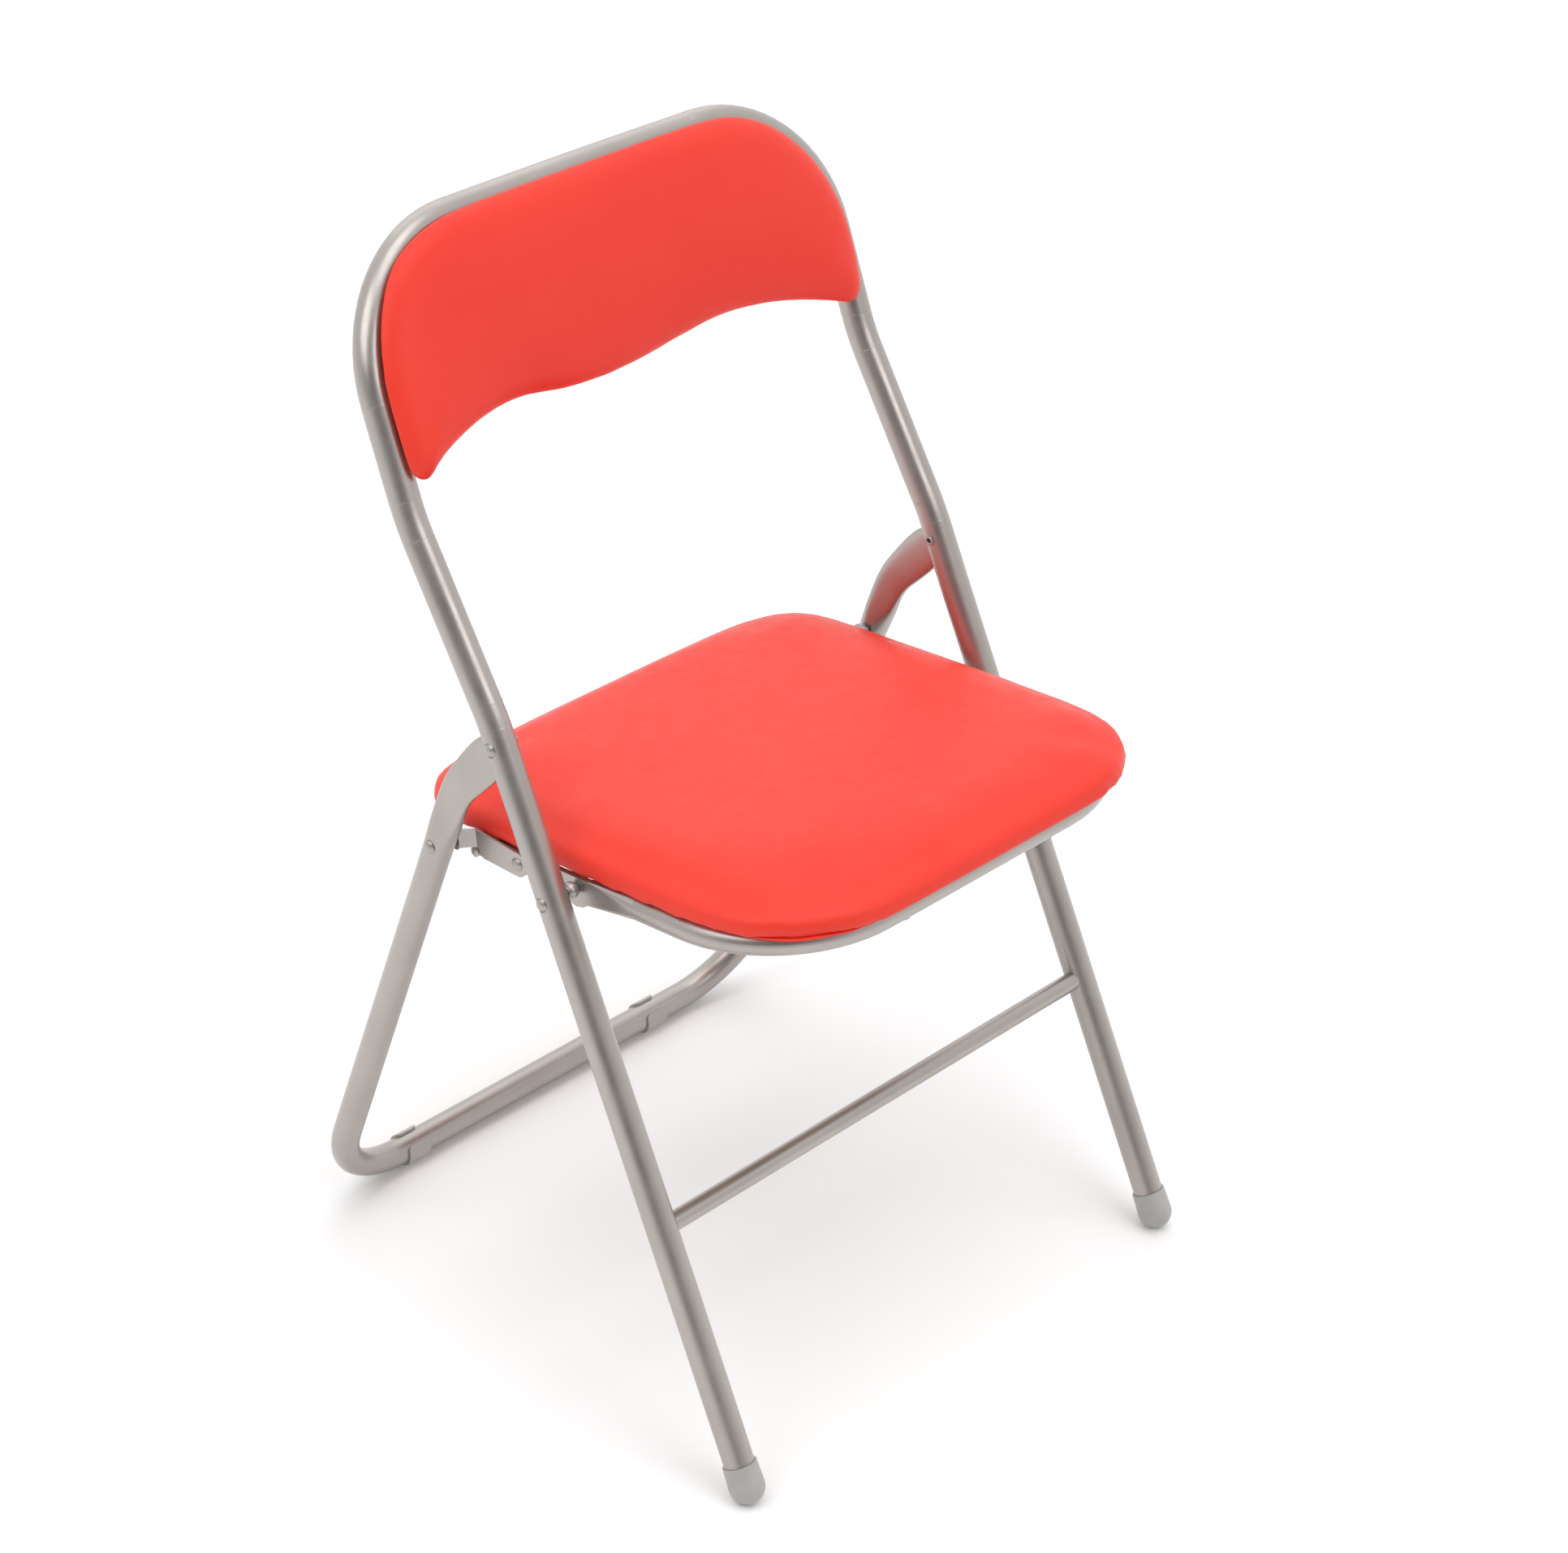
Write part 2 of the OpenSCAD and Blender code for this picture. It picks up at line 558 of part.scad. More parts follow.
module seat_screw_bores(r) {
  at_front_seat_screws() cylinder(r = r, h = 24, $fn = 24);
  at_rear_seat_screws() cylinder(r = r, h = 15, $fn = 24);
}
module seat_cover() {
  color(red) in_seat() difference() {
    seat_slab(pad_z, pad_z + seat_t, 0);
    seat_slab(pad_z + skin, pad_z + seat_t - skin, skin);
    seat_screw_bores(2);
  }
}
module seat_board() {
  color("tan") in_seat() difference() {
    seat_slab(pad_z + skin + gap, pad_z + skin + seat_board_t, seat_wrap);
    seat_screw_bores(1.9);
  }
}
module seat_foam() {
  color("khaki") in_seat() difference() {
    seat_slab(pad_z + skin + gap, pad_z + seat_t - skin - gap, skin + gap);
    seat_slab(pad_z, pad_z + skin + seat_board_t + gap, seat_wrap - gap);
  }
}
module seat_screw(len) {
  cylinder(r = 1.85, h = len, $fn = 24);
  translate([0, 0, -0.9]) cylinder(r = 3.8, h = 0.9, $fn = 32);
  translate([0, 0, -2]) cylinder(r1 = 2.4, r2 = 3.8, h = 1.1, $fn = 32);
}
module seat_screws() {
  color("dimgray") in_seat() {
    at_front_seat_screws() translate([0, 0, 0.45 - seat_tube_r]) seat_screw(25);
    at_rear_seat_screws() translate([0, 0, pad_z - 3.05]) seat_screw(10);
  }
}
module stop_pins() {
  x0 = rail_out - rail_t;
  color(steel) in_seat() both() turned(stop_pin, concat(dome(rail_out + 3, stop_r, 1.4), [
    [0, x0 - 1.1], [3.2, x0 - 1.1], [3.6, x0 - 0.8], [3.6, x0 - 0.05], [2.45, x0 - 0.05],
    [2.45, rail_out + 0.05], [stop_r, rail_out + 0.05]]));
}
module link_front_rivets() {
  color(steel) in_seat() both() rivet(link_seat, link_out + 0.15, rail_out - rail_t - 0.05);
}

// ---- links, drawn open in the seat's axes ----
link_t = 2;
link_out = rail_out + 0.25 + link_t;          // outer face of the link's front part
link_step = 9;                                // the rear part lies this much further out
link_far = to_seat(link_rear);
link_end_r = 9.3;
// Side view of the link: round front end, notch over the stop pin, hooked rear end.
function link_outline() = concat(
  [for (a = [80:20:280]) link_seat + link_end_r * [cos(a), sin(a)]],
  [[91, -8.3], [94.2, -6.6]],
  [for (a = [170:-20:90]) stop_pin + (stop_r + 0.3) * [cos(a), sin(a)]],
  [[106.4, -1.1], [107.6, -3.4], [113, -3.2]],
  [for (a = [-60:20:90]) link_far + link_end_r * [cos(a), sin(a)] + [0, -1]],
  [[101, 12.4], [70, 9.2]]);
module link_plate() {
  x1 = link_out;
  x0 = link_out - link_t;
  color(steel) in_seat() difference() {
    intersection() {
      translate([x0 - 1, 0, 0]) rotate([90, 0, 90]) linear_extrude(link_step + link_t + 2)
        polygon(link_outline());
      translate([0, 0, -30]) linear_extrude(60)
        polygon([[x1, 30], [x1, 97.2], [x1 + link_step, 105.2], [x1 + link_step, 140],
                 [x0 + link_step, 140], [x0 + link_step, 106], [x0, 98], [x0, 30]]);
    }
    across(link_seat, x0 - 1, x1 + 1, rivet_r + run);
    across(link_far, x0, x1 + link_step + 1, rivet_r + run);
  }
}
module link_plate_right() { link_plate(); }
module link_plate_left() { mirror([1, 0, 0]) link_plate(); }
// Tail of the open pivot's rivet, rolled over the inside of the link.
module link_rivet_tail() {
  x = link_out + link_step - link_t;
  color(steel) in_seat() turned(link_far, [[0, x + link_t - 0.1], [0, x + 0.6], [1.7, x + 0.6],
    [1.7, x - 0.8], [2.1, x - 1.2], [3.4, x - 1.2], [3.9, x - 0.8], [3.9, x - 0.02],
    [rivet_r, x - 0.02], [rivet_r, x + link_t - 0.1]]);
}
module link_rivet_tail_right() { link_rivet_tail(); }
module link_rivet_tail_left() { mirror([1, 0, 0]) link_rivet_tail(); }

// ---- fold, for looking at the mechanism: each body turns at its constant ratio to the seat ----
rear_ratio = 46.55 / 110.7;
link_ratio = 143.7 / 110.7;
module turn_about(p, angle) {
  translate([0, p.x, p.y]) rotate([angle, 0, 0]) translate([0, -p.x, -p.y]) children();
}
link_seat_yz = seat_pivot + [link_seat.x * cos(seat_tilt) + link_seat.y * sin(seat_tilt),
                             link_seat.y * cos(seat_tilt) - link_seat.x * sin(seat_tilt)];
module on_rear() { turn_about(leg_pivot, -fold * rear_ratio) children(); }
module on_seat() { turn_about(seat_pivot, -fold) children(); }
module on_link() { on_seat() turn_about(link_seat_yz, fold * link_ratio) children(); }

front_frame();
crossbar();
foot_cap_left();
foot_cap_right();
back_tabs();
back_board();
back_foam();
back_cover();
back_screws();
leg_pivot_rivets();
seat_pivot_rivets();
seat_spacer_left();
seat_spacer_right();
on_rear() rear_frame();
on_rear() rear_glide_left();
on_rear() rear_glide_right();
on_rear() link_rear_rivets();
on_seat() seat_frame();
on_seat() seat_cross_strap();
on_seat() seat_board();
on_seat() seat_foam();
on_seat() seat_cover();
on_seat() seat_screws();
on_seat() stop_pins();
on_seat() link_front_rivets();
on_link() link_plate_left();
on_link() link_plate_right();
on_link() link_rivet_tail_left();
on_link() link_rivet_tail_right();
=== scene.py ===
"""Folding chair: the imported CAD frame, with its padded covers, rear tube, finishes, studio and camera."""
import bpy
import bmesh
import json
import math
import numpy as np
from mathutils import Matrix, Vector


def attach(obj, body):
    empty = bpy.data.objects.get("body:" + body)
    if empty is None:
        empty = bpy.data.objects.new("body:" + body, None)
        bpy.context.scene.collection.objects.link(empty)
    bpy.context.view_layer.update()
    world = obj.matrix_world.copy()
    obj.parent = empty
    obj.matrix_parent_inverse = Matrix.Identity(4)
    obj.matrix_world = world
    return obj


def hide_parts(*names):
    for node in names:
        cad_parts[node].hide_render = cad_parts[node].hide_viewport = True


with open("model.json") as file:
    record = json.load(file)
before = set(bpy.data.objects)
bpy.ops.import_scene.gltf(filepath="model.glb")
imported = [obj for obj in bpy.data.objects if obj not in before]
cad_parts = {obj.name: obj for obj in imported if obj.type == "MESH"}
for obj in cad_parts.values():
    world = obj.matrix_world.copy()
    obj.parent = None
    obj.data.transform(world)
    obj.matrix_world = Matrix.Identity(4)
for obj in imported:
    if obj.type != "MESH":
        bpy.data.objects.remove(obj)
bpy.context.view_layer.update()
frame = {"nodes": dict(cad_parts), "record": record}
NODES = frame["nodes"]
MM = 0.001


# ---- the chair's own planes, as in the CAD, in millimetres; a point here is (back, up) ----
def along(start, length, lean):
    """The point a length up a leaning line from its start."""
    return (start[0] + length * math.sin(lean), start[1] + length * math.cos(lean))


def side_frame(point, lean):
    """Matrix from a tilted plane's own axes (X across, Y back, Z up along it) to the row frame."""
    return Matrix.Translation((0, point[0] * MM, point[1] * MM)) @ Matrix.Rotation(-lean, 4, "X")


FOOT = (-225.5, 0)
LEG_LEAN, WAIST_LEAN, HOOP_LEAN = math.radians(28.85), math.radians(35.1), math.radians(24.4)
TO_SEAT_PIVOT, TO_WAIST, WAIST_LEN = 446.6, 576, 139
SEAT_TILT = math.radians(8)
SEAT = side_frame(along(FOOT, TO_SEAT_PIVOT, LEG_LEAN), SEAT_TILT)
HOOP = side_frame(along(along(FOOT, TO_WAIST, LEG_LEAN), WAIST_LEN, WAIST_LEAN), HOOP_LEAN)


# ---- materials ----
class Mat:
    """One material's node tree, with short ways to put noise, ramps and bumps on its shader."""

    def __init__(self, name):
        self.material = bpy.data.materials.new(name)
        self.material.use_nodes = True
        self.tree = self.material.node_tree
        self.shader = self.tree.nodes["Principled BSDF"]
        self.place = self.tree.nodes.new("ShaderNodeTexCoord").outputs["Object"]

    def set(self, **values):
        for key, value in values.items():
            self.shader.inputs[key.replace("_", " ")].default_value = value

    def node(self, kind, **values):
        n = self.tree.nodes.new(kind)
        for key, value in values.items():
            n.inputs[key].default_value = value
        return n

    def noise(self, scale, detail=2.0, rough=0.5, stretch=None):
        n = self.node("ShaderNodeTexNoise", Scale=scale, Detail=detail, Roughness=rough)
        place = self.place
        if stretch:
            mapping = self.node("ShaderNodeMapping", Scale=stretch)
            self.tree.links.new(place, mapping.inputs["Vector"])
            place = mapping.outputs["Vector"]
        self.tree.links.new(place, n.inputs["Vector"])
        return n.outputs["Fac"]

    def cells(self, scale):
        n = self.node("ShaderNodeTexVoronoi", Scale=scale)
        self.tree.links.new(self.place, n.inputs["Vector"])
        return n.outputs["Distance"]

    def ramp(self, socket, fac, low, high):
        """Drives a shader socket by a ramp between two (position, grey or colour) stops."""
        n = self.node("ShaderNodeValToRGB")
        self.tree.links.new(fac, n.inputs["Fac"])
        for stop, (position, value) in zip(n.color_ramp.elements, (low, high)):
            stop.position = position
            stop.color = (value, value, value, 1) if isinstance(value, float) else (*value, 1)
        self.tree.links.new(n.outputs["Color"], self.shader.inputs[socket])

    def bump(self, height, strength, distance, under=None):
        n = self.node("ShaderNodeBump", Strength=strength, Distance=distance)
        self.tree.links.new(height, n.inputs["Height"])
        if under is not None:
            self.tree.links.new(under, n.inputs["Normal"])
        self.tree.links.new(n.outputs["Normal"], self.shader.inputs["Normal"])
        return n.outputs["Normal"]


def paint(name, light, dark, rough=(0.30, 0.38)):
    """Satin metallic paint: fine flake, a faint orange peel, and slow changes of tone."""
    m = Mat(name)
    m.set(Metallic=0.85, Coat_Weight=0.18, Coat_Roughness=0.22)
    m.ramp("Base Color", m.noise(14, 3, 0.6), (0.3, dark), (0.7, light))
    m.ramp("Roughness", m.noise(60, 4, 0.65), (0.3, rough[0]), (0.7, rough[1]))
    peel = m.bump(m.noise(420), 0.05, 0.0004)
    m.bump(m.noise(2600, 1), 0.05, 0.0002, under=peel)
    return m.material


def vinyl(name, light, dark):
    """Smooth upholstery vinyl: a fine pebble grain, soft gloss, and a slow change of tone."""
    m = Mat(name)
    m.set(Specular_IOR_Level=0.27)
    m.ramp("Base Color", m.noise(9, 3, 0.55), (0.35, dark), (0.65, light))
    m.ramp("Roughness", m.noise(90, 3, 0.6), (0.3, 0.40), (0.7, 0.50))
    grain = m.bump(m.cells(900), 0.10, 0.0003)
    m.bump(m.noise(34), 0.10, 0.0015, under=grain)
    return m.material


def plastic(name, light, dark, rough=(0.42, 0.55)):
    """Moulded plastic with a fine texture."""
    m = Mat(name)
    m.set(Specular_IOR_Level=0.4)
    m.ramp("Base Color", m.noise(60, 3, 0.6), (0.3, dark), (0.7, light))
    m.ramp("Roughness", m.noise(160, 3, 0.6), (0.3, rough[0]), (0.7, rough[1]))
    m.bump(m.noise(1500), 0.12, 0.0002)
    return m.material


def metal(name, light, dark):
    """Plain bright steel."""
    m = Mat(name)
    m.set(Metallic=1.0)
    m.ramp("Base Color", m.noise(200, 3, 0.6), (0.3, dark), (0.7, light))
    m.ramp("Roughness", m.noise(500, 3, 0.6), (0.3, 0.24), (0.7, 0.38))
    m.bump(m.noise(1800), 0.08, 0.0002)
    return m.material


def wood(name, light, dark, stretch=(1, 9, 9)):
    """Raw board with its grain across the chair."""
    m = Mat(name)
    m.ramp("Base Color", m.noise(30, 5, 0.6, stretch), (0.3, dark), (0.7, light))
    m.set(Roughness=0.65)
    m.bump(m.noise(60, 4, 0.6, stretch), 0.2, 0.0005)
    return m.material


def foam(name, light, dark):
    """Open-celled foam."""
    m = Mat(name)
    m.ramp("Base Color", m.noise(300, 4, 0.7), (0.3, dark), (0.7, light))
    m.set(Roughness=0.95)
    m.bump(m.noise(900, 3), 0.4, 0.0006)
    return m.material


PAINT = paint("frame_paint", (0.445, 0.410, 0.385), (0.405, 0.372, 0.350))
VINYL = vinyl("red_vinyl", (0.82, 0.046, 0.027), (0.79, 0.040, 0.023))
CAP = plastic("cap_plastic", (0.43, 0.42, 0.40), (0.38, 0.37, 0.355))
GLIDE = plastic("glide_plastic", (0.47, 0.45, 0.43), (0.43, 0.41, 0.39), (0.34, 0.45))
RIVET = paint("rivet_steel", (0.43, 0.41, 0.39), (0.38, 0.36, 0.345), (0.34, 0.42))
SCREW = metal("screw_steel", (0.40, 0.39, 0.38), (0.30, 0.29, 0.28))
BOARD = wood("board", (0.36, 0.27, 0.19), (0.22, 0.15, 0.10))
FOAM = foam("foam", (0.86, 0.78, 0.52), (0.72, 0.62, 0.36))

BY_SLOT = {"frame_paint": PAINT, "rivet_steel": RIVET, "screw_steel": SCREW, "red_vinyl": VINYL,
           "foam": FOAM, "board": BOARD, "grey_plastic": CAP}
BY_NODE = {"rear_glide_left": GLIDE, "rear_glide_right": GLIDE}
for part in frame["record"]["subparts"]:
    node = part["node"]
    NODES[node].data.materials.clear()
    NODES[node].data.materials.append(BY_NODE.get(node, BY_SLOT[part["material_slot"]]))


# ---- mesh helpers ----
def add_object(name, data):
    o = bpy.data.objects.new(name, data)
    bpy.context.scene.collection.objects.link(o)
    return o


def face_outward(mesh):
    bm = bmesh.new()
    bm.from_mesh(mesh)
    bmesh.ops.recalc_face_normals(bm, faces=bm.faces)
    bm.to_mesh(mesh)
    bm.free()


def add_mesh(name, verts, faces, material):
    mesh = bpy.data.meshes.new(name)
    mesh.from_pydata([tuple(v) for v in verts], [], faces)
    mesh.validate()
    mesh.materials.append(material)
    o = add_object(name, mesh)
    face_outward(mesh)
    mesh.shade_smooth()
    return o


def loft(name, rings, material):
    """Closed solid through rings of equal point count, with flat ends."""
    n, last = len(rings[0]), len(rings) - 1
    faces = [(i * n + j, i * n + (j + 1) % n, (i + 1) * n + (j + 1) % n, (i + 1) * n + j)
             for i in range(last) for j in range(n)]
    faces.append(tuple(range(n)))
    faces.append(tuple(last * n + j for j in range(n))[::-1])
    return add_mesh(name, [p for r in rings for p in r], faces, material)


def band(name, rings, material):
    """Closed strip through rings that join up with each other, the last with the first."""
    n, m = len(rings[0]), len(rings)
    faces = [(i * n + j, i * n + (j + 1) % n, ((i + 1) % m) * n + (j + 1) % n, ((i + 1) % m) * n + j)
             for i in range(m) for j in range(n)]
    return add_mesh(name, [p for r in rings for p in r], faces, material)


def resample(points, n):
    """n points evenly spaced round a closed outline, starting at its first point."""
    p = np.array(points + [points[0]], float)
    d = np.concatenate([[0], np.cumsum(np.linalg.norm(np.diff(p, axis=0), axis=1))])
    t = np.linspace(0, d[-1], n, endpoint=False)
    return np.stack([np.interp(t, d, p[:, 0]), np.interp(t, d, p[:, 1])], axis=1)


def curve(points, n):
    """A smooth closed outline through the points, as n evenly spaced ones."""
    p = np.array(points, float)
    before, after, beyond = np.roll(p, 1, axis=0), np.roll(p, -1, axis=0), np.roll(p, -2, axis=0)
    steps = [0.5 * (2 * p + (after - before) * t + (2 * before - 5 * p + 4 * after - beyond) * t * t
                    + (3 * p - before - 3 * after + beyond) * t ** 3)
             for t in np.linspace(0, 1, 8, endpoint=False)]
    return resample(np.stack(steps, axis=1).reshape(-1, 2).tolist(), n)


def mirrored(half):
    return half + [(-x, y) for x, y in reversed(half) if abs(x) > 0.01]


def profile(x, pairs):
    """The value at x of a broken line through (x, value) pairs."""
    xs, ys = zip(*pairs)
    return np.interp(x, xs, ys)


def distance_inside(points, outline):
    """How far each point lies inside a closed outline; negative outside."""
    best = np.full(len(points), 1e9)
    inside = np.zeros(len(points), bool)
    for (ax, ay), (dx, dy) in zip(outline, np.roll(outline, -1, axis=0) - outline):
        px, py = points[:, 0] - ax, points[:, 1] - ay
        t = np.clip((px * dx + py * dy) / (dx * dx + dy * dy), 0, 1)
        best = np.minimum(best, np.hypot(px - t * dx, py - t * dy))
        if dy:
            inside ^= ((py < 0) != (py < dy)) & (px < py * dx / dy)
    return np.where(inside, best, -best)


def apply_modifier(o, kind, **settings):
    m = o.modifiers.new("m", kind)
    for key, value in settings.items():
        setattr(m, key, value)
    bpy.context.view_layer.objects.active = o
    with bpy.context.temp_override(object=o, active_object=o, selected_objects=[o]):
        bpy.ops.object.modifier_apply(modifier=m.name)
    o.data.shade_smooth()


def coords(o):
    c = np.empty(len(o.data.vertices) * 3)
    o.data.vertices.foreach_get("co", c)
    return c.reshape(-1, 3)


def set_coords(o, c):
    o.data.vertices.foreach_set("co", c.astype(np.float32).ravel())
    o.data.update()


def smoothed(o, values, rounds):
    """Averages a value at each point with its neighbours, over and over."""
    e = np.empty(len(o.data.edges) * 2, dtype=np.int32)
    o.data.edges.foreach_get("vertices", e)
    e = e.reshape(-1, 2)
    n = np.bincount(e.ravel(), minlength=len(values))[:, None]
    for _ in range(rounds):
        total = np.zeros_like(values)
        np.add.at(total, e[:, 0], values[e[:, 1]])
        np.add.at(total, e[:, 1], values[e[:, 0]])
        values = 0.4 * values + 0.6 * total / n
    return values


SWELL_PRESSURE, SWELL_MOST, SWELL_FRAMES = 4.0, 0.0035, 20


def inflate(o, held, even):
    """Swells a closed mesh as cloth. held is each point's share of holding; the swell is then evened out."""
    start = coords(o)
    group = o.vertex_groups.new(name="held")
    for i, weight in enumerate(held):
        group.add([i], float(weight), "REPLACE")
    m = o.modifiers.new("cloth", "CLOTH")
    s = m.settings
    s.vertex_group_mass = "held"
    s.quality = 6
    s.mass = 0.25
    s.tension_stiffness = s.compression_stiffness = 40
    s.shear_stiffness = 20
    s.bending_stiffness = 8.0
    s.pin_stiffness = 1
    s.use_pressure = True
    s.uniform_pressure_force = SWELL_PRESSURE
    s.effector_weights.gravity = 0
    m.collision_settings.use_collision = False
    m.point_cache.frame_start, m.point_cache.frame_end = 1, SWELL_FRAMES
    for f in range(1, SWELL_FRAMES + 1):
        bpy.context.scene.frame_set(f)
    move = coords(o.evaluated_get(bpy.context.evaluated_depsgraph_get())) - start
    o.modifiers.remove(m)
    bpy.context.scene.frame_set(1)
    far = np.linalg.norm(move, axis=1, keepdims=True)
    move = smoothed(o, move * np.minimum(1, SWELL_MOST / np.maximum(far, 1e-9)), even)
    set_coords(o, start + move)
    o.vertex_groups.remove(group)


# ---- seat pad, in the seat's own millimetres ----
SEAT_ARR, SEAT_INV = np.array(SEAT), np.array(SEAT.inverted())
SEAT_EDGE = [
    (0, -206), (40, -206), (75, -205.5), (100, -204.4), (118, -202), (132, -198.4), (144, -192.8),
    (154, -185.8), (164, -178.6), (172.6, -169.4), (180, -158.6), (186.2, -146.2), (190.4, -131),
    (192.6, -114.5), (193.8, -98), (194.2, -78), (194.9, -40), (195, 0), (195, 40), (195, 80),
    (194.6, 105), (193.8, 122), (191.8, 136), (188.6, 146.5), (184, 155.5), (178, 163), (169.8, 169.5),
    (159, 174.6), (144, 178.6), (120, 181.2), (80, 182.2), (40, 182.5), (0, 182.6)]
SEAT_LOOP = curve(mirrored(SEAT_EDGE), 180)


def left_corner(p):
    """1 at the left front corner, where the tucked cover shows, and falling to 0 round it."""
    return np.exp(-(np.hypot(p[:, 0] + 160, p[:, 1] + 180) / 42) ** 2)


def seat_ring(inset, z, waver=0.0, corner=0.0):
    """The pad's outline inset, with a slight waver, and let out at the left front corner."""
    t = np.roll(SEAT_LOOP, -1, axis=0) - np.roll(SEAT_LOOP, 1, axis=0)
    t /= np.linalg.norm(t, axis=1, keepdims=True)
    inward = np.stack([-t[:, 1], t[:, 0]], axis=1)
    i = np.arange(len(SEAT_LOOP))
    w = waver * (np.sin(i * 0.83) + 0.6 * np.sin(i * 2.27 + 1) + 0.4 * np.sin(i * 4.6 + 2))
    w -= corner * left_corner(SEAT_LOOP)
    edge = SEAT_LOOP + inward * (inset + w)[:, None]
    return [SEAT @ Vector((x * MM, y * MM, z * MM)) for x, y in edge]


def seat_local(c):
    return (c @ SEAT_INV[:3, :3].T + SEAT_INV[:3, 3]) / MM


# inset and height of each ring of the pad, from its underside over the bull nose
SEAT_PROFILE = [(16, 7.7), (8.0, 7.5), (3.4, 7.5), (1.9, 8.1), (1.0, 10.0), (0.4, 13.0), (0.0, 16.0),
                (0.0, 18.5), (0.4, 20.2), (1.5, 21.9), (3.9, 23.6), (8.0, 25.7), (13.0, 27.9), (19.0, 30.0),
                (25.0, 31.4)]
seat_pad = loft("seat_pad", [seat_ring(*ring) for ring in SEAT_PROFILE], VINYL)
apply_modifier(seat_pad, "REMESH", mode="VOXEL", voxel_size=0.004, use_smooth_shade=True)
apply_modifier(seat_pad, "SMOOTH", factor=0.5, iterations=4)
# the underside and the lower edge are held; the crown and the nose are free
inflate(seat_pad, np.clip(1 - (seat_local(coords(seat_pad))[:, 2] - 10) / 8, 0, 1), even=30)

# the crown rises with depth from the edge, and dips where the foam is thinner beside the arms
CROWN = [(0, 0), (14, 0), (26, 1.6), (45, 3.4), (80, 5.0), (130, 5.8), (200, 6.0)]
DIPS = [(2.2, 160, 62, 30), (2.6, 176, 160, 34)]    # depth, place to either side and back, and spread
c = coords(seat_pad)
q = seat_local(c)
crown = profile(distance_inside(q[:, :2], SEAT_LOOP), CROWN)
for deep, x, y, spread in DIPS:
    crown -= deep * np.exp(-((np.abs(q[:, 0]) - x) / spread) ** 2 - ((q[:, 1] - y) / spread) ** 2)
top = np.clip((q[:, 2] - 20) / 10, 0, 1)
normal = np.array(SEAT.to_3x3() @ Vector((0, 0, 1)))
set_coords(seat_pad, c + normal * (MM * top * crown)[:, None])
apply_modifier(seat_pad, "SMOOTH", factor=0.5, iterations=4)

# the lower rim is drawn down on to the frame, less so at the left front corner, and let out a little;
# inside the rim the underside is pulled up, so that the board below it is bare
RIM_TOP, RIM_AT, RIM_OUT = 14.5, 7.4, 0.019
UNDERSIDE = [(0, 7.35), (5, 7.35), (9, 9.6)]
q = seat_local(coords(seat_pad))
depth = distance_inside(q[:, :2], SEAT_LOOP)
rim_low = np.percentile(q[(depth > 1) & (depth < 8) & (q[:, 2] < 16), 2], 5)
low = np.clip((RIM_TOP - q[:, 2]) / (RIM_TOP - rim_low), 0, 1) * (1 - 0.85 * left_corner(q))
rim = np.clip(1 - depth / 10, 0, 1)
q[:, 2] = np.maximum(q[:, 2] - (rim_low - RIM_AT) * low, profile(depth, UNDERSIDE))
q[:, :2] *= (1 + RIM_OUT * low * rim)[:, None]
set_coords(seat_pad, (q * MM) @ SEAT_ARR[:3, :3].T + SEAT_ARR[:3, 3])
apply_modifier(seat_pad, "SUBSURF", levels=1, render_levels=1)
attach(seat_pad, "seat")
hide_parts("seat_cover", "seat_foam")

# the cover's edge, folded under the board, which shows as a second layer below the pad;
# each ring's inset, height, waver and how far it is let out at the corner
WRAP = [(28, 7.25, 1.0, 0), (12, 7.25, 0.0, 0), (6.6, 7.3, 0.2, 4.6), (5.8, 7.6, 0.22, 5.2),
        (5.6, 8.2, 0.22, 5.4), (6.2, 8.8, 0.2, 4.6), (10, 9.2, 0.0, 0), (16, 9.0, 0.0, 0),
        (27.4, 8.2, 1.0, 0)]
seat_wrap = band("seat_edge_wrap", [seat_ring(*ring) for ring in WRAP], VINYL)
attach(seat_wrap, "seat")

# ---- back pad: made flat as (across, up the hoop, depth), then bowed ----
SIDE_X, BOW, PAD_BACK = 216.5, 11.5, 12.35
BOW_R = (SIDE_X ** 2 + BOW ** 2) / (2 * BOW)
HOOP_ARR = np.array(HOOP)
BACK_EDGE = [
    (-12, 42.3), (4, 43.2), (20, 44.8), (36, 46.8), (52, 48.4), (68.5, 50.1), (84, 50.8), (99.6, 50.2),
    (114.6, 48.7), (129.4, 46.6), (144, 43.5), (158, 39.9), (172, 35.7), (186, 30.9), (194, 27.8),
    (199, 26.0), (203, 25.4), (206.5, 26.3), (209.4, 29.4), (212, 33.4), (213.4, 39), (214.6, 50),
    (215.2, 64), (214.4, 85), (209.3, 109), (199.2, 131), (183.6, 151.3), (162.8, 167.9), (136.7, 178.6),
    (110, 181.6), (85, 182), (60, 182), (30, 182), (0, 182), (-30, 182), (-60, 182), (-85, 182),
    (-107, 181.8), (-133.3, 180.2), (-161, 173.4), (-184, 161.2), (-199, 144), (-210.5, 121.5),
    (-217.2, 97), (-219, 77), (-219.2, 60), (-218.8, 42), (-218, 34), (-216.4, 29.6), (-213.4, 26.2),
    (-209, 24.3), (-204.5, 24.2), (-200.5, 26.2), (-194, 30.6), (-184, 35.6), (-167, 41.6), (-150, 46.3),
    (-133, 49.2), (-117, 50.4), (-102, 49.8), (-87, 47.5), (-73, 45), (-58, 43.2), (-43, 42.3), (-27.5, 41.9)]
BACK_LOOP = curve(BACK_EDGE, 400)
